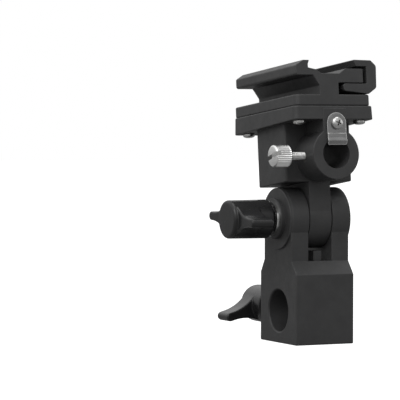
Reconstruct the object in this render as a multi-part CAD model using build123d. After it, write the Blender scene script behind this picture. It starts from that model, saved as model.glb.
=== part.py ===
from build123d import *
import math
import os

# Umbrella swivel bracket: a plastic base that drops onto a light stand's spigot, a tilting head
# that takes an umbrella shaft, and a clamping flash shoe on top.
# Millimetres. The origin is the centre of the base's underside and +Z is up. The tilt axis runs
# along X. The tilt knob is on the -X side, the umbrella collar on the -Y side and the lock handle
# on the +Y side. Head pieces are drawn about the tilt axis and then leaned back by HEAD_TILT.

# ---- base ----
BASE_WIDTH = 25.4
BASE_DEPTH = 30.8
BASE_SHOULDER_Z = 27.4
NECK_Z = 32.4
NECK_FRONT = 11.1
NECK_BACK = 12.2
EAR_RADIUS = 12.2
EAR_DISC_RADIUS = 12.1
KNOB_DISC_PROUD = 0.8
BOLT_DISC_PROUD = 0.4
BOSS_RADIUS = 8.0
BOSS_HEIGHT = 1.9
SLOT_WIDTH = 10.2
PIVOT_Z = 48.8
SPIGOT_BORE_RADIUS = 8.25
STAND_BORE_DEPTH = 26.0
CROSS_BORE_Z = 12.7
CROSS_BORE_ROUND = 0.7
LUG_SIZE = (3.4, 4.2, 3.9)
LUG_FRONT_Y = -8.7
EDGE_ROUND = 0.5
SLOT_ROUND = 0.4
SMALL_ROUND = 0.3
SCREW_GAP = 0.1

# ---- tilt bolt and washers ----
BOLT_RADIUS = 3.0
BOLT_HEX_FLATS = 10.0
BOLT_HEAD_HEIGHT = 4.0
BOLT_HEAD_SUNK = 0.1
BOLT_REACH = 11.0
BOLT_POINT = 0.6
RUNNING_GAP = 0.05
WASHER_RADIUS = 6.9
WASHER_THICKNESS = 1.2
FRICTION_RADIUS = 9.5
FRICTION_THICKNESS = 0.3

# ---- T-handle, used on the tilt bolt and on the lock stud ----
NECK_LENGTH = 1.5
NECK_RADIUS = 5.0
HUB_LENGTH = 17.3
HUB_RADIUS = 7.65
HUB_END_RADIUS = 7.5
HUB_ROUND = 1.0
WING_REACH = 19.5
WING_THICKNESS = 3.5
WING_DEPTH = 9.5
WING_START = 6.1
WING_BLEND = 18.0
WING_ROUND = 0.5
KNOB_INSERT_RADIUS = 3.9
KNOB_INSERT_LENGTH = 10.0
KNOB_BORE_RADIUS = 3.3
KNOB_BORE_DEPTH = 15.0
KNOB_WASHER_HOLE = 3.2
TILT_KNOB_TURN = 2.7
LOCK_HANDLE_TURN = 15.4

# ---- lock screw ----
LOCK_Z = 12.4
LOCK_NECK_Y = 25.4
STUD_RADIUS = 3.0
STUD_TIP_Y = 10.0
STUD_EMBEDDED = 10.5
PAD_THICKNESS = 1.6
PAD_RADIUS = 2.9
LOCK_INSERT_RADIUS = 4.5
LOCK_INSERT_LENGTH = 5.4

# ---- head ----
HEAD_TILT = 5.5
HEAD_WEDGE = 1.7
TONGUE_WIDTH = 9.4
TONGUE_RADIUS = 11.8
BLOCK_WIDTH = 29.0
BLOCK_FRONT = -11.6
BLOCK_BACK = 12.3
BLOCK_BOTTOM = 13.3
BLOCK_ROUND = 0.8
FLANGE_BOTTOM = 35.9
FLANGE_TOP = 42.0
FLANGE_WIDTH = 35.1
FLANGE_FRONT = -26.6
FLANGE_BACK = 27.2
FLANGE_DRAFT = 2.5
PLATE_CORNER = 2.3
RIM_ROUND = 0.6
COLLAR_RADIUS = 10.0
COLLAR_FRONT = FLANGE_FRONT
COLLAR_Z = 23.4
UMBRELLA_BORE_RADIUS = 5.82
RIB_WIDTH = 10.2

# ---- umbrella clip and its screw ----
CLIP_X = 0.4
CLIP_WIDTH = 8.5
CLIP_THICKNESS = 0.6
CLIP_SCREW_Z = 35.1
CLIP_BEND_Z = 31.3
CLIP_BULGE = 0.6
CLIP_BULGE_HIGH_Z = 30.3
CLIP_BULGE_LOW_Z = 29.1
CLIP_LIFT = 0.2
CLIP_BEND_RADIUS = 0.5
CLIP_END_Z = 26.85
CLIP_SCREW_HEAD_RADIUS = 2.4
CLIP_SCREW_HEAD_HEIGHT = 1.7
CLIP_SCREW_RADIUS = 1.5
CLIP_INSERT_RADIUS = 2.1
CLIP_INSERT_LENGTH = 6.0

# ---- thumb screw ----
THUMB_Y = -18.4
THUMB_Z = 23.15
THUMB_SHANK_RADIUS = 1.5
THUMB_HEAD_RADIUS = 4.2
THUMB_HEAD_INNER = -16.75
THUMB_HEAD_OUTER = -23.6
THUMB_SLOT_WIDTH = 1.5
THUMB_SLOT_DEPTH = 1.8
THUMB_TIP_X = -6.0
THUMB_TIP_LENGTH = 0.8
THUMB_INSERT_RADIUS = 2.4
THUMB_INSERT_OUTER = -9.65
THUMB_INSERT_INNER = -6.5

# ---- shoe ----
SHOE_WIDTH = 32.9
SHOE_FRONT = -26.1
SHOE_BACK = 28.0
RAIL_BACK = 26.4
SHOE_PLATE_TOP = 46.4
RAIL_TOP = 59.6
SHOE_FLOOR = 54.5
TONGUE_TOP = 56.4
TONGUE_UNDER = 50.95
TONGUE_END = 13.4
JAW_WEB_INNER = 15.0
JAW_OUTER = 19.4
JAW_SCREW_Z = 53.7
JAW_SCREW_Y = 15.0
JAW_SCREW_RADIUS = 1.5
JAW_SCREW_HEAD_RADIUS = 2.75
JAW_SCREW_HEAD_HEIGHT = 2.6
JAW_SCREW_HEX = 2.5
JAW_SCREW_HEX_DEPTH = 1.5
JAW_SCREW_SEAT = 16.4
JAW_SCREW_TIP = 9.0
JAW_SCREW_ROOM = 7.0
END_ROUND = 0.2
JAW_INSERT_RADIUS = 2.3
JAW_INSERT_LENGTH = 5.0

# ---- flange screws ----
PLATE_SCREW_X = 13.2
PLATE_SCREW_Y = 21.8
PLATE_SCREW_RADIUS = 1.5
PLATE_SCREW_HEAD_RADIUS = 2.35
PLATE_SCREW_HEAD_HEIGHT = 1.5
PLATE_SCREW_TIP_Z = 45.2
PLATE_INSERT_RADIUS = 2.2
PLATE_INSERT_LENGTH = 3.6


def block(x0, x1, y0, y1, z0, z1):
    """Box between two corners."""
    middle = Pos((x0 + x1) / 2, (y0 + y1) / 2, (z0 + z1) / 2)
    return middle * Box(x1 - x0, y1 - y0, z1 - z0)


def round_x(radius, x0, x1, y=0.0, z=0.0):
    """Cylinder along X."""
    return Pos((x0 + x1) / 2, y, z) * Rot(0, 90, 0) * Cylinder(radius, abs(x1 - x0))


def round_y(radius, y0, y1, x=0.0, z=0.0):
    """Cylinder along Y."""
    return Pos(x, (y0 + y1) / 2, z) * Rot(-90, 0, 0) * Cylinder(radius, abs(y1 - y0))


def round_z(radius, z0, z1, x=0.0, y=0.0):
    """Cylinder along Z."""
    return Pos(x, y, (z0 + z1) / 2) * Cylinder(radius, abs(z1 - z0))


def hexagon_x(across_flats, x0, x1, y=0.0, z=0.0):
    """Hexagonal prism along X."""
    outline = RegularPolygon(across_flats / 2, 6, major_radius=False)
    return Pos(x0, y, z) * Rot(0, 90, 0) * extrude(outline, amount=x1 - x0)


def tube_x(radius, hole, x0, x1, y=0.0, z=0.0):
    """Plain bush along X."""
    return round_x(radius, x0, x1, y, z) - round_x(hole, x0 - 1, x1 + 1, y, z)


def along_y(outline_xz, y0, y1):
    """Prism along Y of an outline drawn in X and Z."""
    return Pos(0, (y0 + y1) / 2, 0) * extrude(Plane.XZ * outline_xz, amount=(y1 - y0) / 2, both=True)


def in_head(solid):
    """Places a piece that is drawn about the tilt axis."""
    return Pos(0, 0, PIVOT_Z) * Rot(-HEAD_TILT, 0, 0) * solid


def pan_screw(head_radius, head_height, shank_radius, shank_length):
    """Cross-head screw: shank up from Z = 0, domed head below it."""
    crown = head_height * 0.45
    profile = make_face([
        Line((0, 0), (head_radius, 0)),
        Line((head_radius, 0), (head_radius, crown - head_height)),
        ThreePointArc(
            (head_radius, crown - head_height),
            (head_radius * 0.62, crown * 0.28 - head_height),
            (0, -head_height),
        ),
        Line((0, -head_height), (0, 0)),
    ])
    head = revolve(Plane.XZ * profile, axis=Axis.Z)
    cross_length = head_radius * 1.1
    cross_width = head_radius * 0.26
    cross = Pos(0, 0, -head_height) * Box(cross_length, cross_width, head_height)
    head -= cross + Rot(0, 0, 90) * cross
    return head + round_z(shank_radius, 0, shank_length)


# ---- base pieces ----

def base_block():
    half_depth = BASE_DEPTH / 2
    outline = Polygon(
        (-half_depth, 0),
        (half_depth, 0),
        (half_depth, BASE_SHOULDER_Z),
        (NECK_BACK, NECK_Z),
        (NECK_BACK, PIVOT_Z),
        (-NECK_FRONT, PIVOT_Z),
        (-NECK_FRONT, NECK_Z),
        (-half_depth, BASE_SHOULDER_Z),
        align=None,
    )
    outline += Pos(0, PIVOT_Z) * Circle(EAR_RADIUS)
    body = extrude(Plane.YZ * outline, amount=BASE_WIDTH / 2, both=True)
    body = fillet(body.edges(), EDGE_ROUND)
    half_slot = SLOT_WIDTH / 2
    slot_top = PIVOT_Z + 2 * EAR_RADIUS
    body -= block(-half_slot, half_slot, -BASE_DEPTH, BASE_DEPTH, NECK_Z, slot_top)
    body = fillet(slot_edges(body), SLOT_ROUND)
    bolt_side = ear_pad(EAR_DISC_RADIUS, BOLT_DISC_PROUD)
    knob_side = ear_pad(EAR_DISC_RADIUS, KNOB_DISC_PROUD)
    knob_side += ear_pad(BOSS_RADIUS, KNOB_DISC_PROUD + BOSS_HEIGHT)
    body += Pos(0, 0, PIVOT_Z) * (bolt_side + Rot(0, 0, 180) * knob_side)
    lug_width, lug_depth, lug_height = LUG_SIZE
    body += block(
        -lug_width / 2, lug_width / 2,
        LUG_FRONT_Y, LUG_FRONT_Y + lug_depth,
        NECK_Z - 1, NECK_Z + lug_height,
    )
    # The two spigot bores cross, so the seam of each is turned to the walls beside the crossing.
    body -= Rot(0, 0, 90) * round_z(SPIGOT_BORE_RADIUS, -1, STAND_BORE_DEPTH)
    cross_bore = Rot(90, 0, 0) * round_x(SPIGOT_BORE_RADIUS, -BASE_WIDTH, BASE_WIDTH)
    body -= Pos(0, 0, CROSS_BORE_Z) * cross_bore
    body = fillet(body.edges().filter_by(is_cross_bore_mouth), CROSS_BORE_ROUND)
    body -= round_x(BOLT_RADIUS + RUNNING_GAP, -BASE_WIDTH, BASE_WIDTH, z=PIVOT_Z)
    body -= hexagon_x(BOLT_HEX_FLATS + 2 * RUNNING_GAP, bolt_seat(), BASE_WIDTH, z=PIVOT_Z)
    body -= round_y(STUD_RADIUS + SCREW_GAP, 0, half_depth + 1, z=LOCK_Z)
    body -= round_y(LOCK_INSERT_RADIUS, half_depth - LOCK_INSERT_LENGTH, half_depth + 1, z=LOCK_Z)
    return body


def ear_pad(radius, proud):
    """Round pad on the outside of an ear, drawn about the tilt axis on the +X side."""
    pad = round_x(radius, BASE_WIDTH / 2 - 1, BASE_WIDTH / 2 + proud)
    return fillet(pad.edges().group_by(Axis.X)[-1], SMALL_ROUND)


def is_cross_bore_mouth(edge):
    """True for the two round edges where the cross bore opens in the base's sides."""
    if edge.geom_type != GeomType.CIRCLE:
        return False
    centre = edge.arc_center
    return abs(abs(centre.X) - BASE_WIDTH / 2) < 0.01 and abs(centre.Z - CROSS_BORE_Z) < 0.01


def bolt_seat():
    """X of the face under the tilt bolt's head."""
    return BASE_WIDTH / 2 + BOLT_DISC_PROUD - BOLT_HEAD_SUNK - BOLT_HEAD_HEIGHT


def knob_seat():
    """X of the boss face under the knob's washer."""
    return -BASE_WIDTH / 2 - KNOB_DISC_PROUD - BOSS_HEIGHT


def slot_edges(body):
    """The upright and round edges where the slot's walls meet the ears' front, back and top."""
    half_slot = SLOT_WIDTH / 2
    walls = body.edges().filter_by(lambda e: abs(abs(e.center().X) - half_slot) < 0.01)
    return walls.filter_by(lambda e: e.center().Z > NECK_Z + 0.5)


def lock_insert():
    half_depth = BASE_DEPTH / 2
    bush = round_y(LOCK_INSERT_RADIUS, half_depth - LOCK_INSERT_LENGTH, half_depth, z=LOCK_Z)
    return bush - round_y(STUD_RADIUS + RUNNING_GAP, 0, BASE_DEPTH, z=LOCK_Z)


def tilt_bolt():
    seat = bolt_seat()
    tip = knob_seat() - WASHER_THICKNESS - BOLT_REACH
    head = hexagon_x(BOLT_HEX_FLATS, seat, seat + BOLT_HEAD_HEIGHT, z=PIVOT_Z)
    shank = round_x(BOLT_RADIUS, tip, seat, z=PIVOT_Z)
    shank = chamfer(shank.edges().group_by(Axis.X)[0], BOLT_POINT)
    return head + shank


def friction_washers():
    inner_face = TONGUE_WIDTH / 2 + RUNNING_GAP
    outer_face = inner_face + FRICTION_THICKNESS
    washer = tube_x(FRICTION_RADIUS, BOLT_RADIUS + RUNNING_GAP, inner_face, outer_face)
    return [Pos(0, 0, PIVOT_Z) * Rot(0, 0, turn) * washer for turn in (0, 180)]


# ---- T-handles ----

def t_handle(bore_radius, bore_depth):
    """Handle along +Z: the neck starts at Z = 0, the wings spread along X."""
    hub_start = NECK_LENGTH
    hub = Pos(0, 0, hub_start + HUB_LENGTH / 2) * Cone(HUB_RADIUS, HUB_END_RADIUS, HUB_LENGTH)
    hub = fillet(hub.edges().group_by(Axis.Z)[-1], HUB_ROUND)
    hub = fillet(hub.edges().group_by(Axis.Z)[0], WING_ROUND)
    outline = Circle(HUB_END_RADIUS) + SlotOverall(2 * WING_REACH, WING_THICKNESS)
    roots = outline.vertices().filter_by(lambda v: abs(v.X) < HUB_RADIUS)
    roots = roots.filter_by(lambda v: abs(abs(v.Y) - WING_THICKNESS / 2) < 0.01)
    outline = fillet(roots, WING_BLEND)
    wings = Pos(0, 0, hub_start + WING_START) * extrude(outline, amount=WING_DEPTH)
    wings = fillet(wings.edges().filter_by(lambda e: abs(e.tangent_at(0.5).Z) < 0.5), WING_ROUND)
    handle = hub + wings + round_z(NECK_RADIUS, 0, hub_start + 1)
    return handle - round_z(bore_radius, -1, bore_depth)


def on_tilt_axis(piece):
    """Turns a piece drawn along +Z onto the tilt axis, pointing to -X from the washer."""
    lie_down = Rot(0, -90, 0) * Rot(0, 0, 90)
    return Pos(knob_seat() - WASHER_THICKNESS, 0, PIVOT_Z) * Rot(TILT_KNOB_TURN, 0, 0) * lie_down * piece


def on_lock_axis(piece):
    """Turns a piece drawn along +Z onto the lock screw's axis, pointing to +Y."""
    return Pos(0, LOCK_NECK_Y, LOCK_Z) * Rot(0, -LOCK_HANDLE_TURN, 0) * Rot(-90, 0, 0) * piece


def tilt_knob():
    handle = t_handle(KNOB_BORE_RADIUS, KNOB_BORE_DEPTH)
    return on_tilt_axis(handle - round_z(KNOB_INSERT_RADIUS, -1, KNOB_INSERT_LENGTH))


def knob_insert():
    bush = round_z(KNOB_INSERT_RADIUS, 0, KNOB_INSERT_LENGTH)
    return on_tilt_axis(bush - round_z(BOLT_RADIUS + RUNNING_GAP, -1, KNOB_INSERT_LENGTH + 1))


def knob_washer():
    face = knob_seat()
    return tube_x(WASHER_RADIUS, KNOB_WASHER_HOLE, face - WASHER_THICKNESS, face, z=PIVOT_Z)


def lock_handle():
    return on_lock_axis(t_handle(STUD_RADIUS, STUD_EMBEDDED))


def lock_stud():
    return round_y(STUD_RADIUS, STUD_TIP_Y, LOCK_NECK_Y + STUD_EMBEDDED, z=LOCK_Z)


def lock_pad():
    return round_y(PAD_RADIUS, STUD_TIP_Y - PAD_THICKNESS, STUD_TIP_Y, z=LOCK_Z)


# ---- head pieces, drawn about the tilt axis ----

def rounded_ends(prism, radius):
    """A prism along Y with the edges of its two end faces rounded."""
    ends = prism.edges().group_by(Axis.Y)
    return fillet(ends[0] + ends[-1], radius)


def head_block():
    half_tongue = TONGUE_WIDTH / 2
    half_block = BLOCK_WIDTH / 2
    outline = Circle(TONGUE_RADIUS)
    tongue_height = BLOCK_BOTTOM + 1
    stem = Rectangle(BLOCK_BACK - BLOCK_FRONT, tongue_height)
    outline += Pos((BLOCK_FRONT + BLOCK_BACK) / 2, tongue_height / 2) * stem
    tongue = extrude(Plane.YZ * outline, amount=half_tongue, both=True)
    core = block(-half_block, half_block, BLOCK_FRONT, BLOCK_BACK, BLOCK_BOTTOM - 2, FLANGE_TOP - 1)
    core = fillet(core.edges().filter_by(Axis.Z), BLOCK_ROUND)
    core -= below_wedge(BLOCK_BOTTOM)
    core = fillet(core.faces().sort_by(Axis.Z)[0].edges(), EDGE_ROUND)
    flange = flange_plate()
    collar = round_y(COLLAR_RADIUS, COLLAR_FRONT, BLOCK_FRONT + 1, z=COLLAR_Z)
    collar += block(
        -RIB_WIDTH / 2, RIB_WIDTH / 2,
        COLLAR_FRONT, BLOCK_FRONT + 1,
        COLLAR_Z, FLANGE_TOP - 1,
    )
    collar = fillet(collar.edges().group_by(Axis.Y)[0], SMALL_ROUND)
    body = tongue + core + flange + collar
    body -= round_y(UMBRELLA_BORE_RADIUS, COLLAR_FRONT - 1, BLOCK_BACK + 1, z=COLLAR_Z)
    body -= round_x(BOLT_RADIUS + RUNNING_GAP, -half_block, half_block)
    body -= round_x(THUMB_SHANK_RADIUS + SCREW_GAP, -COLLAR_RADIUS - 1, 0, THUMB_Y, THUMB_Z)
    body -= thumb_insert()
    insert_end = COLLAR_FRONT + CLIP_INSERT_LENGTH
    body -= round_y(CLIP_INSERT_RADIUS, COLLAR_FRONT - 1, insert_end, CLIP_X, CLIP_SCREW_Z)
    for x, y in corners():
        body -= round_z(PLATE_SCREW_RADIUS + SCREW_GAP, FLANGE_BOTTOM - 2, FLANGE_TOP + 1, x, y)
    return body


def below_wedge(z):
    """Everything under a plane that falls toward the back and crosses the tilt axis's plane at z."""
    return Pos(0, 0, z) * Rot(-HEAD_WEDGE, 0, 0) * block(-50, 50, -50, 50, -20, 0)


def flange_plate():
    """The head's flange: drafted sides, thicker toward the back."""
    start = FLANGE_BOTTOM - 1.5
    outline = RectangleRounded(FLANGE_WIDTH, FLANGE_BACK - FLANGE_FRONT, PLATE_CORNER)
    plate = extrude(outline, amount=FLANGE_TOP - start, taper=FLANGE_DRAFT)
    plate = Pos(0, (FLANGE_FRONT + FLANGE_BACK) / 2, start) * plate - below_wedge(FLANGE_BOTTOM)
    plate = fillet(plate.faces().sort_by(Axis.Z)[-1].edges(), RIM_ROUND)
    return fillet(plate.faces().sort_by(Axis.Z)[0].edges(), SMALL_ROUND)


def thumb_insert():
    hole = THUMB_SHANK_RADIUS + RUNNING_GAP
    ends = (THUMB_INSERT_OUTER, THUMB_INSERT_INNER)
    return tube_x(THUMB_INSERT_RADIUS, hole, *ends, THUMB_Y, THUMB_Z)


def thumb_screw():
    head = round_x(THUMB_HEAD_RADIUS, THUMB_HEAD_OUTER, THUMB_HEAD_INNER, THUMB_Y, THUMB_Z)
    rims = head.edges().group_by(Axis.X)
    head = chamfer(rims[0] + rims[-1], EDGE_ROUND)
    slot = block(
        THUMB_HEAD_OUTER - 1, THUMB_HEAD_OUTER + THUMB_SLOT_DEPTH,
        THUMB_Y - THUMB_HEAD_RADIUS, THUMB_Y + THUMB_HEAD_RADIUS,
        THUMB_Z - THUMB_SLOT_WIDTH / 2, THUMB_Z + THUMB_SLOT_WIDTH / 2,
    )
    shank_end = THUMB_TIP_X - THUMB_TIP_LENGTH
    shank = round_x(THUMB_SHANK_RADIUS, THUMB_HEAD_INNER, shank_end, THUMB_Y, THUMB_Z)
    return head - slot + shank


def thumb_tip():
    start = THUMB_TIP_X - THUMB_TIP_LENGTH
    return round_x(THUMB_SHANK_RADIUS - SCREW_GAP, start, THUMB_TIP_X, THUMB_Y, THUMB_Z)


def umbrella_clip():
    leaf_y = COLLAR_FRONT - CLIP_THICKNESS / 2
    bulge_y = leaf_y - CLIP_BULGE
    top_z = CLIP_SCREW_Z + CLIP_WIDTH / 2
    path = FilletPolyline(
        (leaf_y, top_z),
        (leaf_y, CLIP_BEND_Z),
        (bulge_y, CLIP_BULGE_HIGH_Z),
        (bulge_y, CLIP_BULGE_LOW_Z),
        (leaf_y - CLIP_LIFT, CLIP_END_Z),
        radius=CLIP_BEND_RADIUS,
    )
    leaf = extrude(Plane.YZ * trace(path, CLIP_THICKNESS), amount=CLIP_WIDTH / 2, both=True)
    below = 2 * (CLIP_SCREW_Z - CLIP_END_Z)
    outline = Circle(CLIP_WIDTH / 2) + Pos(0, -below / 2) * Rectangle(CLIP_WIDTH, below)
    leaf &= Pos(0, 0, CLIP_SCREW_Z) * along_y(outline, bulge_y - 1, COLLAR_FRONT)
    hole = CLIP_SCREW_RADIUS + SCREW_GAP
    leaf -= round_y(hole, COLLAR_FRONT - CLIP_WIDTH, COLLAR_FRONT, z=CLIP_SCREW_Z)
    return Pos(CLIP_X, 0, 0) * leaf


def clip_insert():
    end = COLLAR_FRONT + CLIP_INSERT_LENGTH
    bush = round_y(CLIP_INSERT_RADIUS, COLLAR_FRONT, end, CLIP_X, CLIP_SCREW_Z)
    return bush - round_y(CLIP_SCREW_RADIUS, COLLAR_FRONT - 1, end + 1, CLIP_X, CLIP_SCREW_Z)


def clip_screw():
    reach = CLIP_THICKNESS + CLIP_INSERT_LENGTH - 1
    screw = pan_screw(CLIP_SCREW_HEAD_RADIUS, CLIP_SCREW_HEAD_HEIGHT, CLIP_SCREW_RADIUS, reach)
    return Pos(CLIP_X, COLLAR_FRONT - CLIP_THICKNESS, CLIP_SCREW_Z) * Rot(-90, 0, 0) * screw


# ---- shoe ----

def corners():
    """X and Y of the four flange screws."""
    sides = (-PLATE_SCREW_X, PLATE_SCREW_X)
    return [(x, y) for x in sides for y in (-PLATE_SCREW_Y, PLATE_SCREW_Y)]


def is_near(vertex, marks):
    """True where the vertex lies on one of the marked points."""
    return any((Vector(vertex) - mark).length < 0.001 for mark in marks)


def rounded_outline(points, rounds):
    """Polygon with the given rounding radius at each of its corners; 0 leaves a corner sharp."""
    outline = Polygon(*points, align=None)
    for radius in sorted(set(rounds) - {0}):
        marked = [Vector(*p) for p, r in zip(points, rounds) if r == radius]
        outline = fillet(outline.vertices().filter_by(lambda v: is_near(v, marked)), radius)
    return outline


def shoe_outline():
    """Section of the shoe above its plate: a left rail and a right tongue on one pillar."""
    section = [
        ((-5.8, SHOE_PLATE_TOP - 1), 0),
        ((-5.8, 49.8), 0.6),
        ((-8.5, 53.85), 0.6),
        ((-15.8, 53.85), 0.9),
        ((-15.8, 57.6), 0.8),
        ((-12.6, RAIL_TOP), 0.5),
        ((-9.9, RAIL_TOP), 0.25),
        ((-10.5, 58.2), 0.25),
        ((-10.5, 56.7), 0.4),
        ((-7.0, 56.0), 0.6),
        ((-4.9, SHOE_FLOOR), 0.6),
        ((3.0, SHOE_FLOOR), 0.6),
        ((5.7, TONGUE_TOP), 0.6),
        ((TONGUE_END, TONGUE_TOP), 0.3),
        ((TONGUE_END, TONGUE_UNDER), 0.3),
        ((2.5, TONGUE_UNDER), 0.4),
        ((2.5, SHOE_PLATE_TOP - 1), 0),
    ]
    points, rounds = zip(*section)
    return rounded_outline(points, rounds)


def shoe_plate():
    outline = RectangleRounded(SHOE_WIDTH, SHOE_BACK - SHOE_FRONT, PLATE_CORNER)
    plate = extrude(outline, SHOE_PLATE_TOP - FLANGE_TOP)
    rims = plate.edges().group_by(Axis.Z)
    plate = fillet(rims[0] + rims[-1], RIM_ROUND)
    body = Pos(0, (SHOE_FRONT + SHOE_BACK) / 2, FLANGE_TOP) * plate
    body += rounded_ends(along_y(shoe_outline(), SHOE_FRONT, RAIL_BACK), END_ROUND)
    for x, y in corners():
        body -= round_z(PLATE_SCREW_RADIUS, FLANGE_TOP - 1, PLATE_SCREW_TIP_Z, x, y)
        body -= round_z(PLATE_INSERT_RADIUS, FLANGE_TOP - 1, FLANGE_TOP + PLATE_INSERT_LENGTH, x, y)
    insert_start = TONGUE_END - JAW_INSERT_LENGTH
    for y in (-JAW_SCREW_Y, JAW_SCREW_Y):
        hole = JAW_SCREW_RADIUS + RUNNING_GAP
        body -= round_x(hole, JAW_SCREW_ROOM, TONGUE_END + 1, y, JAW_SCREW_Z)
        body -= round_x(JAW_INSERT_RADIUS, insert_start, TONGUE_END + 1, y, JAW_SCREW_Z)
    return body


def plate_inserts():
    top = FLANGE_TOP + PLATE_INSERT_LENGTH
    bushes = []
    for x, y in corners():
        bush = round_z(PLATE_INSERT_RADIUS, FLANGE_TOP, top, x, y)
        bushes.append(bush - round_z(PLATE_SCREW_RADIUS, FLANGE_TOP - 1, top + 1, x, y))
    return bushes


def plate_screws():
    size = (PLATE_SCREW_HEAD_RADIUS, PLATE_SCREW_HEAD_HEIGHT, PLATE_SCREW_RADIUS)
    screws = []
    for x, y in corners():
        seat = FLANGE_BOTTOM - (y + PLATE_SCREW_HEAD_RADIUS) * math.tan(math.radians(HEAD_WEDGE))
        screws.append(Pos(x, y, seat) * pan_screw(*size, PLATE_SCREW_TIP_Z - seat))
    return screws


def jaw_outline():
    """Section of the jaw: a C whose lower arm slides between the plate and the tongue."""
    section = [
        ((9.2, 59.9), 0.3),
        ((17.1, 59.75), 0.8),
        ((JAW_OUTER, 57.6), 1.6),
        ((JAW_OUTER - 0.2, 49.0), 1.4),
        ((15.8, SHOE_PLATE_TOP + 0.2), 1.0),
        ((4.9, 47.8), 1.1),
        ((4.3, 50.6), 1.1),
        ((JAW_WEB_INNER, 50.6), 0.3),
        ((JAW_WEB_INNER, 57.35), 0.3),
        ((10.6, 57.35), 0.25),
    ]
    points, rounds = zip(*section)
    return rounded_outline(points, rounds)


def shoe_jaw():
    jaw = rounded_ends(along_y(jaw_outline(), SHOE_FRONT, RAIL_BACK), END_ROUND)
    for y in (-JAW_SCREW_Y, JAW_SCREW_Y):
        hole = JAW_SCREW_RADIUS + SCREW_GAP
        jaw -= round_x(hole, JAW_WEB_INNER - 1, JAW_OUTER + 1, y, JAW_SCREW_Z)
        recess = JAW_SCREW_HEAD_RADIUS + SCREW_GAP
        jaw -= round_x(recess, JAW_SCREW_SEAT, JAW_OUTER + 1, y, JAW_SCREW_Z)
    return jaw


def jaw_inserts():
    radii = (JAW_INSERT_RADIUS, JAW_SCREW_RADIUS + RUNNING_GAP)
    ends = (TONGUE_END - JAW_INSERT_LENGTH, TONGUE_END)
    return [tube_x(*radii, *ends, y, JAW_SCREW_Z) for y in (-JAW_SCREW_Y, JAW_SCREW_Y)]


def jaw_screw(y):
    head_end = JAW_SCREW_SEAT + JAW_SCREW_HEAD_HEIGHT
    head = round_x(JAW_SCREW_HEAD_RADIUS, JAW_SCREW_SEAT, head_end, y, JAW_SCREW_Z)
    head = chamfer(head.edges().group_by(Axis.X)[-1], SMALL_ROUND)
    head -= hexagon_x(JAW_SCREW_HEX, head_end - JAW_SCREW_HEX_DEPTH, head_end + 1, y, JAW_SCREW_Z)
    return head + round_x(JAW_SCREW_RADIUS, JAW_SCREW_TIP, JAW_SCREW_SEAT, y, JAW_SCREW_Z)


NODES = {
    "base_block": base_block(),
    "lock_insert": lock_insert(),
    "tilt_bolt": tilt_bolt(),
    "friction_washers": friction_washers(),
    "knob_washer": knob_washer(),
    "tilt_knob": tilt_knob(),
    "knob_insert": knob_insert(),
    "lock_handle": lock_handle(),
    "lock_stud": lock_stud(),
    "lock_pad": lock_pad(),
}

HEAD_NODES = {
    "head_block": head_block(),
    "umbrella_clip": umbrella_clip(),
    "clip_screw": clip_screw(),
    "clip_insert": clip_insert(),
    "thumb_screw": thumb_screw(),
    "thumb_tip": thumb_tip(),
    "thumb_insert": thumb_insert(),
    "plate_screws": plate_screws(),
    "plate_inserts": plate_inserts(),
    "shoe_plate": shoe_plate(),
    "shoe_jaw": shoe_jaw(),
    "jaw_inserts": jaw_inserts(),
    "jaw_screw_front": jaw_screw(-JAW_SCREW_Y),
    "jaw_screw_back": jaw_screw(JAW_SCREW_Y),
}


def placed(piece):
    """The head pieces leaned back; a group of fasteners stays a list of solids."""
    if isinstance(piece, list):
        return [in_head(solid) for solid in piece]
    return in_head(piece)


os.makedirs("parts", exist_ok=True)
NODES.update({name: placed(piece) for name, piece in HEAD_NODES.items()})
for name, piece in NODES.items():
    if isinstance(piece, list):
        piece = Compound(children=piece)
    export_step(piece, os.path.join("parts", name + ".step"))
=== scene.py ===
import math

import bmesh
import bpy
from mathutils import Matrix, Vector


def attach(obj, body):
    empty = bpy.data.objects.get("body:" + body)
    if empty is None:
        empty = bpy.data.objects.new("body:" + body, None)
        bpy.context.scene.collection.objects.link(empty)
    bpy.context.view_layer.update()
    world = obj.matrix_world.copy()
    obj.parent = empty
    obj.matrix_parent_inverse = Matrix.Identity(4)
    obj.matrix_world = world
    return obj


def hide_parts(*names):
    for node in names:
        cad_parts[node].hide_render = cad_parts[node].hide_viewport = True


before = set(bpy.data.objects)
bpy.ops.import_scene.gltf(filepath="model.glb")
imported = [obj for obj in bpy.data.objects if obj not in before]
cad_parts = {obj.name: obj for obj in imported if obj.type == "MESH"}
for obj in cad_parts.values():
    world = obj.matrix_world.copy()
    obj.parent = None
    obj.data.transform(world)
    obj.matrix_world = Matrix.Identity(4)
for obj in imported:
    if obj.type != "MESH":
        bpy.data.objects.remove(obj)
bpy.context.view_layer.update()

MM = 0.001
PIVOT_Z = 48.8
HEAD_TILT = 5.5
SCALE = Matrix.Scale(MM, 4)
HEAD = SCALE @ Matrix.Translation((0, 0, PIVOT_Z)) @ Matrix.Rotation(math.radians(-HEAD_TILT), 4, "X")
TO_PLUS_X = Matrix.Rotation(math.radians(90), 4, "Y")
TO_MINUS_X = Matrix.Rotation(math.radians(-90), 4, "Y")
TO_PLUS_Y = Matrix.Rotation(math.radians(-90), 4, "X")

CAMERA_AZIMUTH = math.radians(25.233)
CAMERA_PITCH = math.radians(1.88)
CAMERA_ROLL = math.radians(0.088)
CAMERA_DISTANCE = 946.972
AIM_HEIGHT = 55.885
AIM_ASIDE = 42.218

M6_RADIUS, M6_THREAD_DEPTH, M6_PITCH = 3.0, 0.55, 1.0
M3_RADIUS, M3_PITCH = 1.5, 0.5
M3_THREAD_DEPTH = M3_PITCH * 0.6
OVERLAP = 0.05

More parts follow.
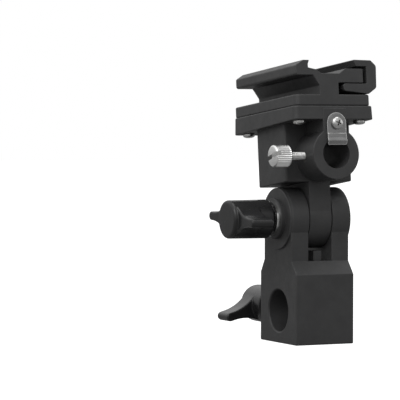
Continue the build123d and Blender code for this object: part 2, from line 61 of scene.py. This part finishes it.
THUMB_LENGTH, THUMB_RADIUS, THUMB_TEETH = 6.85, 4.2, 34
THUMB_PLACE = (-23.6, -18.4, 23.15)
THUMB_SLOT_HALF, THUMB_SLOT_DEPTH, THUMB_SLOT_TURN = 0.85, 2.0, -0.2

CLIP_HALF, CLIP_THICKNESS, CLIP_CORNER = 4.1, 0.6, 0.5
CLIP_FRONT, CLIP_SCREW_Z, CLIP_END_Z, CLIP_FLAT_Z = -26.6, 35.1, 26.85, 31.8
CLIP_HOLE_RADIUS = 1.6
CLIP_X, CLIP_SCREW_X = 0.3, 0.4
CLIP_PROFILE = [
    (CLIP_END_Z, 0.0), (27.4, 0.24), (27.9, 0.44), (28.15, 0.5), (28.45, 0.5), (28.9, 0.36),
    (29.5, 0.2), (30.95, 0.14), (31.1, 0.0), (45.0, 0.0),
]

FLANGE_BOTTOM, FLANGE_WEDGE = 35.9, math.radians(1.7)
PLATE_SCREW_X, PLATE_SCREW_Y = 13.2, 21.8
PLATE_SCREW_RADIUS, PLATE_SCREW_HEIGHT, PLATE_SCREW_END_Z = 2.35, 1.5, 45.2
PLATE_SCREW_TURNS = {(-1, -1): 0.3, (1, -1): 1.1, (-1, 1): 0.7, (1, 1): 0.1}

BOLT_SEAT_X, BOLT_FLATS, BOLT_HEAD_HEIGHT, BOLT_THREAD_START, BOLT_END = 9.0, 10.0, 4.0, 16.4, 36.6
STUD_TIP_Y, STUD_Z, STUD_LENGTH = 10.0, 12.4, 25.9
JAW_SCREW_X, JAW_SCREW_Y, JAW_SCREW_Z = 16.4, 15.0, 53.7


# ---------------------------------------------------------------- camera

def make_camera():
    right = Vector((math.cos(CAMERA_AZIMUTH), -math.sin(CAMERA_AZIMUTH), 0))
    ahead = Vector((
        math.sin(CAMERA_AZIMUTH) * math.cos(CAMERA_PITCH),
        math.cos(CAMERA_AZIMUTH) * math.cos(CAMERA_PITCH),
        -math.sin(CAMERA_PITCH),
    ))
    target = Vector((0, 0, AIM_HEIGHT)) - right * AIM_ASIDE
    place = (target - ahead * CAMERA_DISTANCE) * MM
    up = right.cross(ahead)
    camera = bpy.data.objects.new("camera", bpy.data.cameras.new("camera"))
    bpy.context.scene.collection.objects.link(camera)
    turn = Matrix((right, up, -ahead)).transposed().to_4x4()
    camera.matrix_world = Matrix.Translation(place) @ turn @ Matrix.Rotation(CAMERA_ROLL, 4, "Z")
    camera.data.lens = 216
    camera.data.sensor_width = 36
    camera.data.clip_start = 0.05
    camera.data.clip_end = 50
    bpy.context.scene.camera = camera


# ---------------------------------------------------------------- node helpers

class Recipe:
    """A node material under construction."""

    def __init__(self, name):
        self.material = bpy.data.materials.new(name)
        self.material.use_nodes = True
        self.tree = self.material.node_tree
        self.shader = self.tree.nodes["Principled BSDF"]
        self.place = self.add("ShaderNodeTexCoord").outputs["Object"]

    def add(self, kind, **settings):
        made = self.tree.nodes.new(kind)
        for key, value in settings.items():
            setattr(made, key, value)
        return made

    def plug(self, source, target):
        self.tree.links.new(source, target)

    def set(self, **values):
        for key, value in values.items():
            self.shader.inputs[key.replace("_", " ")].default_value = value

    def stretched(self, factors):
        mapping = self.add("ShaderNodeMapping")
        mapping.inputs["Scale"].default_value = factors
        self.plug(self.place, mapping.inputs["Vector"])
        return mapping.outputs["Vector"]

    def noise(self, scale, detail=3.0, roughness=0.5, vector=None):
        made = self.add("ShaderNodeTexNoise")
        made.inputs["Scale"].default_value = scale
        made.inputs["Detail"].default_value = detail
        made.inputs["Roughness"].default_value = roughness
        self.plug(vector or self.place, made.inputs["Vector"])
        return made.outputs["Fac"]

    def ramp(self, source, stops):
        made = self.add("ShaderNodeValToRGB")
        slots = made.color_ramp.elements
        while len(slots) < len(stops):
            slots.new(0.5)
        for slot, (position, value) in zip(slots, stops):
            slot.position = position
            slot.color = (*value, 1) if isinstance(value, tuple) else (value, value, value, 1)
        self.plug(source, made.inputs["Fac"])
        return made.outputs["Color"]

    def spread(self, source, low, high):
        made = self.add("ShaderNodeMapRange")
        made.inputs["From Min"].default_value = 0.3
        made.inputs["From Max"].default_value = 0.7
        made.inputs["To Min"].default_value = low
        made.inputs["To Max"].default_value = high
        self.plug(source, made.inputs["Value"])
        return made.outputs["Result"]

    def maths(self, operation, first, second):
        made = self.add("ShaderNodeMath", operation=operation)
        for slot, value in zip(made.inputs, (first, second)):
            if isinstance(value, (int, float)):
                slot.default_value = value
            else:
                self.plug(value, slot)
        return made.outputs[0]

    def mix(self, factor, first, second):
        made = self.add("ShaderNodeMix", data_type="RGBA")
        for slot, value in zip((made.inputs[0], made.inputs[6], made.inputs[7]), (factor, first, second)):
            if isinstance(value, tuple):
                slot.default_value = (*value, 1)
            elif isinstance(value, (int, float)):
                slot.default_value = value
            else:
                self.plug(value, slot)
        return made.outputs[2]

    def edges(self, radius):
        """Near 1 along the edges of the form and 0 on its faces."""
        bevel = self.add("ShaderNodeBevel", samples=6)
        bevel.inputs["Radius"].default_value = radius
        dot = self.add("ShaderNodeVectorMath", operation="DOT_PRODUCT")
        self.plug(bevel.outputs["Normal"], dot.inputs[0])
        self.plug(self.add("ShaderNodeNewGeometry").outputs["Normal"], dot.inputs[1])
        return self.ramp(self.maths("SUBTRACT", 1.0, dot.outputs["Value"]), [(0.01, 0.0), (0.12, 1.0)])

    def bumps(self, *layers):
        """Stacks bumps: each layer is (height, strength, distance)."""
        normal = None
        for height, strength, distance in layers:
            made = self.add("ShaderNodeBump")
            made.inputs["Strength"].default_value = strength
            made.inputs["Distance"].default_value = distance
            self.plug(height, made.inputs["Height"])
            if normal:
                self.plug(normal, made.inputs["Normal"])
            normal = made.outputs["Normal"]
        self.plug(normal, self.shader.inputs["Normal"])

    def colour(self, source):
        self.plug(source, self.shader.inputs["Base Color"])

    def rough(self, source):
        self.plug(source, self.shader.inputs["Roughness"])


def moulded_black(name, dark, light, rough_low, rough_high, grain_scale, grain, gloss=0.42):
    """Moulded plastic: fine grain, faint mottling and a patchy painted highlight along its edges."""
    r = Recipe(name)
    mottle = r.ramp(r.noise(140, 4, 0.6), [(0.3, dark), (0.7, light)])
    # painted highlight: the edges are lightened patchily to stand in for light catching them
    edge_highlight_tone = tuple(c * 1.9 for c in light)
    painted_edge_highlight = r.maths("MULTIPLY", r.edges(0.00035), r.ramp(r.noise(420, 3), [(0.38, 0.0), (0.62, 0.55)]))
    r.colour(r.mix(painted_edge_highlight, mottle, edge_highlight_tone))
    r.rough(r.spread(r.noise(260, 5, 0.65), rough_low, rough_high))
    r.set(Specular_IOR_Level=gloss)
    r.bumps(
        (r.noise(60, 2), 0.12, 0.0002),
        (r.noise(grain_scale, 3, 0.6), grain, 0.00004),
    )
    return r.material


def plated(name, dark, light, rough_low, rough_high, brushed, rim=None):
    """Plated or bare metal with fine drawn lines and faint handling marks; rim is a painted highlight colour
    along its edges.
    """
    r = Recipe(name)
    lines = r.noise(1.0, 4, 0.6, r.stretched(brushed))
    cloud = r.noise(300, 4, 0.6)
    surface = r.mix(r.spread(lines, 0.2, 0.8), r.ramp(cloud, [(0.3, dark), (0.7, light)]), light)
    # painted highlight: the edges take the bright rim colour
    if rim:
        surface = r.mix(r.edges(0.0005), surface, rim)
    r.colour(surface)
    r.rough(r.spread(cloud, rough_low, rough_high))
    r.set(Metallic=1.0)
    r.bumps((lines, 0.08, 0.00003), (cloud, 0.04, 0.00005))
    return r.material


def make_materials():
    made = {
        "body_black": moulded_black(
            "body_black", (0.025, 0.025, 0.0255), (0.033, 0.033, 0.0335), 0.46, 0.60, 3600, 0.5),
        "shoe_black": moulded_black(
            "shoe_black", (0.028, 0.028, 0.0285), (0.037, 0.037, 0.0375), 0.44, 0.58, 3200, 0.5),
        "handle_black": moulded_black(
            "handle_black", (0.013, 0.013, 0.0135), (0.018, 0.018, 0.0185), 0.20, 0.28, 2400, 0.10, 0.34),
        "nickel": plated("nickel", (0.76, 0.76, 0.76), (0.90, 0.90, 0.89), 0.28, 0.38, (500, 500, 2200)),
        # the last colour is a painted highlight along the washer's rim
        "washer": plated(
            "washer", (0.55, 0.55, 0.55), (0.70, 0.70, 0.69), 0.16, 0.24, (900, 900, 900),
            (0.97, 0.97, 0.96)),
        "zinc": plated("zinc", (0.40, 0.40, 0.40), (0.56, 0.56, 0.55), 0.22, 0.32, (900, 900, 900)),
        # the last colour is a painted highlight along the clip's edges
        "spring_steel": plated(
            "spring_steel", (0.19, 0.19, 0.19), (0.31, 0.31, 0.31), 0.24, 0.34, (350, 350, 6000),
            (0.92, 0.92, 0.91)),
        "brass": plated("brass", (0.50, 0.36, 0.16), (0.70, 0.53, 0.27), 0.26, 0.40, (1500, 1500, 1500)),
    }
    r = Recipe("fibre")
    fibres = r.noise(1.0, 5, 0.7, r.stretched((900, 2600, 900)))
    r.colour(r.ramp(fibres, [(0.3, (0.05, 0.042, 0.035)), (0.7, (0.11, 0.095, 0.08))]))
    r.rough(r.spread(fibres, 0.7, 0.9))
    r.bumps((fibres, 0.4, 0.00005))
    made["fibre"] = r.material
    r = Recipe("nylon")
    cloud = r.noise(500, 3)
    r.colour(r.ramp(cloud, [(0.3, (0.62, 0.60, 0.52)), (0.7, (0.74, 0.72, 0.64))]))
    r.rough(r.spread(cloud, 0.35, 0.5))
    r.bumps((cloud, 0.15, 0.00004))
    made["nylon"] = r.material
    return made


MATERIALS = make_materials()
CAD_LOOKS = {
    "base_block": "body_black",
    "head_block": "body_black",
    "shoe_plate": "shoe_black",
    "shoe_jaw": "shoe_black",
    "tilt_knob": "handle_black",
    "lock_handle": "handle_black",
    "knob_washer": "washer",
    "lock_pad": "brass",
    "lock_insert": "brass",
    "knob_insert": "brass",
    "clip_insert": "brass",
    "thumb_insert": "brass",
    "plate_inserts": "brass",
    "jaw_inserts": "brass",
    "friction_washers": "fibre",
    "thumb_tip": "nylon",
}
SOFT_EDGED = {
    "knob_washer": 0.18, "lock_pad": 0.2, "friction_washers": 0.08, "thumb_tip": 0.15,
    "lock_insert": 0.12, "knob_insert": 0.12, "thumb_insert": 0.1, "clip_insert": 0.1,
}

SOFTENED = ("tilt_knob", "lock_handle")


def finish_cad_nodes():
    for name, look in CAD_LOOKS.items():
        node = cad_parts[name]
        node.data.materials.clear()
        node.data.materials.append(MATERIALS[look])
        if name in SOFT_EDGED:
            bevel = node.modifiers.new("edges", "BEVEL")
            bevel.width = SOFT_EDGED[name] * MM
            bevel.segments = 2
            bevel.limit_method = "ANGLE"
        if name in SOFTENED:
            voxels = node.modifiers.new("voxels", "REMESH")
            voxels.mode = "VOXEL"
            voxels.voxel_size = 0.2 * MM
            voxels.use_smooth_shade = True
            relax = node.modifiers.new("relax", "SMOOTH")
            relax.factor = 0.5
            relax.iterations = 14


# ---------------------------------------------------------------- mesh helpers

def lathe(bm, rings, segments, ripple=None):
    """Closed solid about Z from rings of (radius, z); ripple(angle, z) is how far a knurl cuts in."""
    loops = []
    for radius, z in rings:
        if radius < 1e-6:
            loops.append([bm.verts.new((0, 0, z))])
            continue
        loop = []
        for i in range(segments):
            angle = 2 * math.pi * i / segments
            reach = radius - (ripple(angle, z) if ripple else 0.0)
            loop.append(bm.verts.new((reach * math.cos(angle), reach * math.sin(angle), z)))
        loops.append(loop)
    for lower, upper in zip(loops, loops[1:]):
        for i in range(segments):
            j = (i + 1) % segments
            if len(lower) == 1:
                bm.faces.new((lower[0], upper[j], upper[i]))
            elif len(upper) == 1:
                bm.faces.new((lower[i], lower[j], upper[0]))
            else:
                bm.faces.new((lower[i], lower[j], upper[j], upper[i]))


def threaded_rod(bm, radius, depth, pitch, start, end, lead_start, lead_end, segments):
    """Helical thread about Z with a chamfered lead at each end that asks for one."""
    steps = 10
    count = max(2, round((end - start) / pitch * steps))

    def reach(angle, z):
        phase = (z / pitch - angle / (2 * math.pi)) % 1.0
        groove = max(0.0, min(1.0, (abs(phase - 0.5) - 0.06) / 0.34))
        top = radius
        if lead_start:
            top = min(top, radius - depth * 1.1 + (z - start))
        if lead_end:
            top = min(top, radius - depth * 1.1 + (end - z))
        return min(radius - depth * groove, top)

    loops = []
    for k in range(count + 1):
        z = start + (end - start) * k / count
        loop = []
        for i in range(segments):
            angle = 2 * math.pi * i / segments
            r = reach(angle, z)
            loop.append(bm.verts.new((r * math.cos(angle), r * math.sin(angle), z)))
        loops.append(loop)
    for lower, upper in zip(loops, loops[1:]):
        for i in range(segments):
            j = (i + 1) % segments
            bm.faces.new((lower[i], lower[j], upper[j], upper[i]))
    for loop, z, flip in ((loops[0], start, True), (loops[-1], end, False)):
        centre = bm.verts.new((0, 0, z))
        for i in range(segments):
            j = (i + 1) % segments
            bm.faces.new((centre, loop[j], loop[i]) if flip else (centre, loop[i], loop[j]))


def prism(bm, outline, z_low, z_high):
    """Prism of an XY outline between two heights."""
    low = [bm.verts.new((x, y, z_low)) for x, y in outline]
    high = [bm.verts.new((x, y, z_high)) for x, y in outline]
    n = len(outline)
    for i in range(n):
        j = (i + 1) % n
        bm.faces.new((low[i], low[j], high[j], high[i]))
    bm.faces.new(list(reversed(low)))
    bm.faces.new(high)


def hexagon(across_flats):
    corner = across_flats / 2 / math.cos(math.pi / 6)
    return [(corner * math.cos(math.pi / 3 * k), corner * math.sin(math.pi / 3 * k)) for k in range(6)]


def as_object(name, bm):
    bmesh.ops.recalc_face_normals(bm, faces=bm.faces)
    mesh = bpy.data.meshes.new(name)
    bm.to_mesh(mesh)
    bm.free()
    obj = bpy.data.objects.new(name, mesh)
    bpy.context.scene.collection.objects.link(obj)
    return obj


def applied(obj):
    """Bakes an object's modifiers into its mesh."""
    graph = bpy.context.evaluated_depsgraph_get()
    mesh = bpy.data.meshes.new_from_object(obj.evaluated_get(graph))
    obj.modifiers.clear()
    obj.data = mesh


def carve(obj, cutter):
    """Cuts one closed mesh out of another."""
    cut = obj.modifiers.new("cut", "BOOLEAN")
    cut.operation = "DIFFERENCE"
    cut.solver = "EXACT"
    cut.object = cutter
    applied(obj)
    bpy.data.objects.remove(cutter)


def joined(obj, *drawings):
    """Adds closed solids to a piece; each drawing puts one into the bmesh that it is given."""
    whole = bmesh.new()
    whole.from_mesh(obj.data)
    for draw in drawings:
        draw(whole)
    bmesh.ops.recalc_face_normals(whole, faces=whole.faces)
    whole.to_mesh(obj.data)
    whole.free()


def settle(obj, place, look, body, replaced, sharp):
    """Puts a finished piece in the frame, in metres, with its material, body and replaced nodes."""
    obj.data.transform(place)
    obj.data.materials.clear()
    obj.data.materials.append(MATERIALS[look])
    for polygon in obj.data.polygons:
        polygon.use_smooth = True
    obj.data.set_sharp_from_angle(angle=math.radians(sharp))
    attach(obj, body)
    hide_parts(*replaced)


def knurl(teeth, depth, low, high):
    """Straight knurl between two heights, fading out over its chamfers."""
    def ripple(angle, z):
        if not low <= z <= high:
            return 0.0
        return depth * (0.5 - 0.5 * math.cos(teeth * angle)) ** 0.7
    return ripple


def cross_outline(length, width):
    a, b = length / 2, width / 2
    return [
        (b, a), (-b, a), (-b, b), (-a, b), (-a, -b), (-b, -b),
        (-b, -a), (b, -a), (b, -b), (a, -b), (a, b), (b, b),
    ]


def pan_head(name, radius, height, shank_radius, shank_length, pitch):
    """Cross-head pan screw: head below Z = 0 with its dome down, threaded shank above."""
    bm = bmesh.new()
    side = height * 0.435
    rings = [(0, 0.0), (shank_radius * 0.8, 0.0), (radius * 0.94, 0.0), (radius, -0.1), (radius, -side)]
    for k in range(1, 8):
        a = math.pi / 2 * k / 8
        rings.append((radius * math.cos(a) ** 0.85, -side - (height - side) * math.sin(a)))
    rings.append((0, -height))
    lathe(bm, rings, 48)
    screw = as_object(name, bm)
    cutter = bmesh.new()
    deep = height * 0.85
    prism(cutter, cross_outline(radius * 1.15, radius * 0.24), -height + deep, -height - 0.5)
    cutter_obj = as_object("cutter", cutter)
    for v in cutter_obj.data.vertices:
        if v.co.z > -height:
            v.co.x *= 0.5
            v.co.y *= 0.5
    carve(screw, cutter_obj)
    joined(screw, lambda bm: threaded_rod(
        bm, shank_radius, pitch * 0.6, pitch, -OVERLAP, shank_length, False, True, 24))
    return screw


def socket_screw(name, radius, height, hex_flats, hex_depth, shank_radius, shank_length, pitch):
    """Knurled cap screw with a hexagon socket: head from Z = 0 up, shank below."""
    bm = bmesh.new()
    rings = [
        (0, 0), (radius - 0.15, 0), (radius, 0.15), (radius, 0.35),
        (radius, height * 0.5), (radius, height - 0.45), (radius - 0.05, height - 0.25),
        (radius - 0.3, height), (0, height),
    ]
    lathe(bm, rings, 180, knurl(30, 0.12, 0.3, height - 0.4))
    screw = as_object(name, bm)
    cutter = bmesh.new()
    prism(cutter, hexagon(hex_flats), height - hex_depth, height + 0.5)
    carve(screw, as_object("cutter", cutter))
    joined(screw, lambda bm: threaded_rod(
        bm, shank_radius, pitch * 0.6, pitch, -shank_length, OVERLAP, True, False, 24))
    return screw


# ---------------------------------------------------------------- metal pieces

def make_thumb_screw():
    """Knurled and slotted head with an M3 thread; drawn with the slot at Z = 0 and the shank upward."""
    length, radius = THUMB_LENGTH, THUMB_RADIUS
    bm = bmesh.new()
    rings = [
        (0, 0), (radius - 0.75, 0), (radius - 0.4, 0.06), (radius - 0.12, 0.28), (radius, 0.55),
        (radius, 0.8), (radius, length * 0.5), (radius, length - 0.8),
        (radius, length - 0.5), (radius - 0.2, length - 0.15), (radius - 0.5, length), (0, length),
    ]
    lathe(bm, rings, THUMB_TEETH * 8, knurl(THUMB_TEETH, 0.24, 0.7, length - 0.6))
    screw = as_object("thumb_screw_detail", bm)
    cutter = bmesh.new()
    across = THUMB_SLOT_HALF
    slot = [(-across, -6), (across, -6), (across, 6), (-across, 6)]
    prism(cutter, slot, -1, THUMB_SLOT_DEPTH)
    carve(screw, as_object("cutter", cutter))
    joined(screw, lambda bm: threaded_rod(
        bm, M3_RADIUS, M3_THREAD_DEPTH, M3_PITCH, length - OVERLAP, length + 9.95, False, True, 32))
    place = HEAD @ Matrix.Translation(THUMB_PLACE) @ TO_PLUS_X @ Matrix.Rotation(THUMB_SLOT_TURN, 4, "Z")
    settle(screw, place, "nickel", "thumb_screw", ["thumb_screw"], 30)


def make_clip():
    """Bent leaf: a round-topped tab whose lower end bulges out and turns into the bore."""
    front = CLIP_FRONT - CLIP_THICKNESS / 2
    half_turn = [math.pi * k / 28 for k in range(29)]
    corners = [(CLIP_HALF * math.cos(a), CLIP_SCREW_Z + CLIP_HALF * math.sin(a)) for a in half_turn]
    quarter = [math.pi / 2 * k / 5 for k in range(6)]
    centre_x, centre_z = CLIP_HALF - CLIP_CORNER, CLIP_END_Z + CLIP_CORNER
    corners += [
        (-centre_x - CLIP_CORNER * math.cos(a), centre_z - CLIP_CORNER * math.sin(a)) for a in quarter]
    corners += [
        (centre_x + CLIP_CORNER * math.sin(a), centre_z - CLIP_CORNER * math.cos(a)) for a in quarter]
    bm = bmesh.new()
    outer = [bm.verts.new((x, 0, z)) for x, z in corners]
    whole_turn = [math.pi * k / 16 for k in range(32)]
    hole = [
        bm.verts.new((CLIP_HOLE_RADIUS * math.cos(a), 0, CLIP_SCREW_Z + CLIP_HOLE_RADIUS * math.sin(a)))
        for a in whole_turn]
    edges = [
        bm.edges.new((ring[i], ring[(i + 1) % len(ring)]))
        for ring in (outer, hole) for i in range(len(ring))]
    bmesh.ops.triangle_fill(bm, use_beauty=True, use_dissolve=False, edges=edges)
    z = CLIP_END_Z + 0.15
    while z < CLIP_FLAT_Z:
        bmesh.ops.bisect_plane(
            bm, geom=bm.verts[:] + bm.edges[:] + bm.faces[:], plane_co=(0, 0, z), plane_no=(0, 0, 1))
        z += 0.1
    for v in bm.verts:
        v.co.y = front - clip_lift(v.co.z)
    leaf = as_object("umbrella_clip_detail", bm)
    solid = leaf.modifiers.new("thickness", "SOLIDIFY")
    solid.thickness = CLIP_THICKNESS
    solid.offset = 0
    bevel = leaf.modifiers.new("rim", "BEVEL")
    bevel.width = 0.17
    bevel.segments = 3
    bevel.limit_method = "ANGLE"
    bevel.angle_limit = math.radians(50)
    applied(leaf)
    place = HEAD @ Matrix.Translation((CLIP_X, 0, 0))
    settle(leaf, place, "spring_steel", "head", ["umbrella_clip"], 40)


def clip_lift(z):
    """How far the leaf stands off the collar's face at a height, from the points of CLIP_PROFILE."""
    for (z0, a), (z1, b) in zip(CLIP_PROFILE, CLIP_PROFILE[1:]):
        if z <= z1:
            return a + (b - a) * max(0.0, (z - z0) / (z1 - z0))
    return 0.0


def make_clip_screw():
    screw = pan_head("clip_screw_detail", 2.4, 1.7, M3_RADIUS, 5.6, M3_PITCH)
    seat = (CLIP_SCREW_X, CLIP_FRONT - CLIP_THICKNESS, CLIP_SCREW_Z)
    place = HEAD @ Matrix.Translation(seat) @ TO_PLUS_Y @ Matrix.Rotation(0.35, 4, "Z")
    settle(screw, place, "zinc", "head", ["clip_screw"], 30)


def make_plate_screws():
    """The four flange screws as one piece."""
    whole = bmesh.new()
    for (sx, sy), turn in PLATE_SCREW_TURNS.items():
        x, y = PLATE_SCREW_X * sx, PLATE_SCREW_Y * sy
        seat = FLANGE_BOTTOM - (y + PLATE_SCREW_RADIUS) * math.tan(FLANGE_WEDGE)
        screw = pan_head(
            "part", PLATE_SCREW_RADIUS, PLATE_SCREW_HEIGHT, M3_RADIUS, PLATE_SCREW_END_Z - seat, M3_PITCH)
        screw.data.transform(Matrix.Translation((x, y, seat)) @ Matrix.Rotation(turn, 4, "Z"))
        whole.from_mesh(screw.data)
        bpy.data.objects.remove(screw)
    screws = as_object("plate_screws_detail", whole)
    settle(screws, HEAD, "zinc", "head", ["plate_screws"], 30)


def make_jaw_screws():
    """The two cap screws sunk in the jaw's outer face."""
    for side, y in (("front", -JAW_SCREW_Y), ("back", JAW_SCREW_Y)):
        screw = socket_screw(f"jaw_screw_{side}_detail", 2.75, 2.6, 2.5, 1.5, M3_RADIUS, 7.4, M3_PITCH)
        place = HEAD @ Matrix.Translation((JAW_SCREW_X, y, JAW_SCREW_Z)) @ TO_PLUS_X
        settle(screw, place, "zinc", f"jaw_screw_{side}", [f"jaw_screw_{side}"], 30)


def make_tilt_bolt():
    """Hexagon head in the far ear and an M6 thread under the knob; drawn with its head below Z = 0."""
    bm = bmesh.new()
    prism(bm, hexagon(BOLT_FLATS), -BOLT_HEAD_HEIGHT, 0.0)
    bolt = as_object("tilt_bolt_detail", bm)
    dome = bmesh.new()
    corner = BOLT_FLATS / 2 / math.cos(math.pi / 6)
    rings = [(0, 1.0), (7.0, 1.0), (7.0, -2.9), (corner * 0.93, -3.75), (4.9, -4.3), (0, -4.3)]
    lathe(dome, rings, 96)
    keep = as_object("keep", dome)
    crop = bolt.modifiers.new("crop", "BOOLEAN")
    crop.operation = "INTERSECT"
    crop.solver = "EXACT"
    crop.object = keep
    applied(bolt)
    bpy.data.objects.remove(keep)
    plain = [
        (0, -OVERLAP), (M6_RADIUS, -OVERLAP), (M6_RADIUS, 16.0),
        (M6_RADIUS - M6_THREAD_DEPTH, 16.6), (0, 16.6),
    ]
    joined(
        bolt,
        lambda bm: lathe(bm, plain, 48),
        lambda bm: threaded_rod(
            bm, M6_RADIUS, M6_THREAD_DEPTH, M6_PITCH, BOLT_THREAD_START, BOLT_END, True, True, 48),
    )
    place = SCALE @ Matrix.Translation((BOLT_SEAT_X, 0, PIVOT_Z)) @ TO_MINUS_X
    settle(bolt, place, "zinc", "base", ["tilt_bolt"], 30)


def make_lock_stud():
    """M6 stud of the lock handle; it starts a hair off the pad, so that they can turn against each other."""
    bm = bmesh.new()
    threaded_rod(bm, M6_RADIUS, M6_THREAD_DEPTH, M6_PITCH, OVERLAP, STUD_LENGTH, True, False, 48)
    stud = as_object("lock_stud_detail", bm)
    place = SCALE @ Matrix.Translation((0, STUD_TIP_Y, STUD_Z)) @ TO_PLUS_Y
    settle(stud, place, "zinc", "lock_handle", ["lock_stud"], 30)


# ---------------------------------------------------------------- surroundings

def make_world():
    """White where the camera looks, and a glow that is strongest from the left, the front and above."""
    world = bpy.data.worlds.new("studio")
    bpy.context.scene.world = world
    world.use_nodes = True
    tree = world.node_tree
    tree.nodes.clear()
    out = tree.nodes.new("ShaderNodeOutputWorld")
    seen = tree.nodes.new("ShaderNodeBackground")
    seen.inputs["Strength"].default_value = 1.0
    seen.inputs["Color"].default_value = (1, 1, 1, 1)
    glow = tree.nodes.new("ShaderNodeBackground")
    coords = tree.nodes.new("ShaderNodeTexCoord")
    parts = tree.nodes.new("ShaderNodeSeparateXYZ")
    tree.links.new(coords.outputs["Generated"], parts.inputs[0])
    strength = None
    for axis, from_min, from_max, low, high in (
        ("X", -1.0, 1.0, 1.6, 0.5), ("Y", -1.0, 1.0, 1.0, 0.75), ("Z", -0.2, 0.6, 0.35, 1.25),
    ):
        side = tree.nodes.new("ShaderNodeMapRange")
        side.inputs["From Min"].default_value = from_min
        side.inputs["From Max"].default_value = from_max
        side.inputs["To Min"].default_value = low
        side.inputs["To Max"].default_value = high
        tree.links.new(parts.outputs[axis], side.inputs["Value"])
        if strength is None:
            strength = side.outputs["Result"]
            continue
        product = tree.nodes.new("ShaderNodeMath")
        product.operation = "MULTIPLY"
        tree.links.new(strength, product.inputs[0])
        tree.links.new(side.outputs["Result"], product.inputs[1])
        strength = product.outputs[0]
    tree.links.new(strength, glow.inputs["Strength"])
    path = tree.nodes.new("ShaderNodeLightPath")
    mix = tree.nodes.new("ShaderNodeMixShader")
    tree.links.new(path.outputs["Is Camera Ray"], mix.inputs["Fac"])
    tree.links.new(glow.outputs[0], mix.inputs[1])
    tree.links.new(seen.outputs[0], mix.inputs[2])
    tree.links.new(mix.outputs[0], out.inputs["Surface"])


def area_light(name, place, target, size, power):
    light = bpy.data.objects.new(name, bpy.data.lights.new(name, "AREA"))
    light.data.shape = "RECTANGLE"
    light.data.size, light.data.size_y = size
    light.data.energy = power
    light.location = place
    aim = Vector(target) - Vector(place)
    light.rotation_mode = "QUATERNION"
    light.rotation_quaternion = aim.to_track_quat("-Z", "Y")
    bpy.context.scene.collection.objects.link(light)


def make_floor():
    """Pale paper that glows to the camera only, so that it doesn't light the object from below."""
    bm = bmesh.new()
    bmesh.ops.create_grid(bm, x_segments=8, y_segments=8, size=4.0)
    floor = as_object("floor", bm)
    r = Recipe("floor_paper")
    cloud = r.noise(3, 3)
    r.colour(r.ramp(cloud, [(0.3, 0.22), (0.7, 0.25)]))
    r.plug(r.add("ShaderNodeLightPath").outputs["Is Camera Ray"], r.shader.inputs["Emission Strength"])
    r.set(Roughness=0.9, Specular_IOR_Level=0.1, Emission_Color=(1, 1, 1, 1))
    floor.data.materials.append(r.material)


make_camera()
finish_cad_nodes()
make_thumb_screw()
make_clip()
make_clip_screw()
make_plate_screws()
make_jaw_screws()
make_tilt_bolt()
make_lock_stud()
make_floor()
make_world()
area_light("key", (-0.65, -0.6, 0.95), (0, 0, 0.06), (0.7, 0.7), 5.5)
area_light("top", (0.2, 0.0, 1.1), (0, 0, 0.08), (0.8, 0.6), 3.0)
area_light("back", (0.15, 1.0, 0.50), (0, 0, 0.08), (1.2, 0.4), 0.5)
area_light("fill", (0.95, -0.5, 0.3), (0, 0, 0.06), (0.5, 0.4), 0.8)
bpy.context.scene.view_settings.view_transform = "Standard"
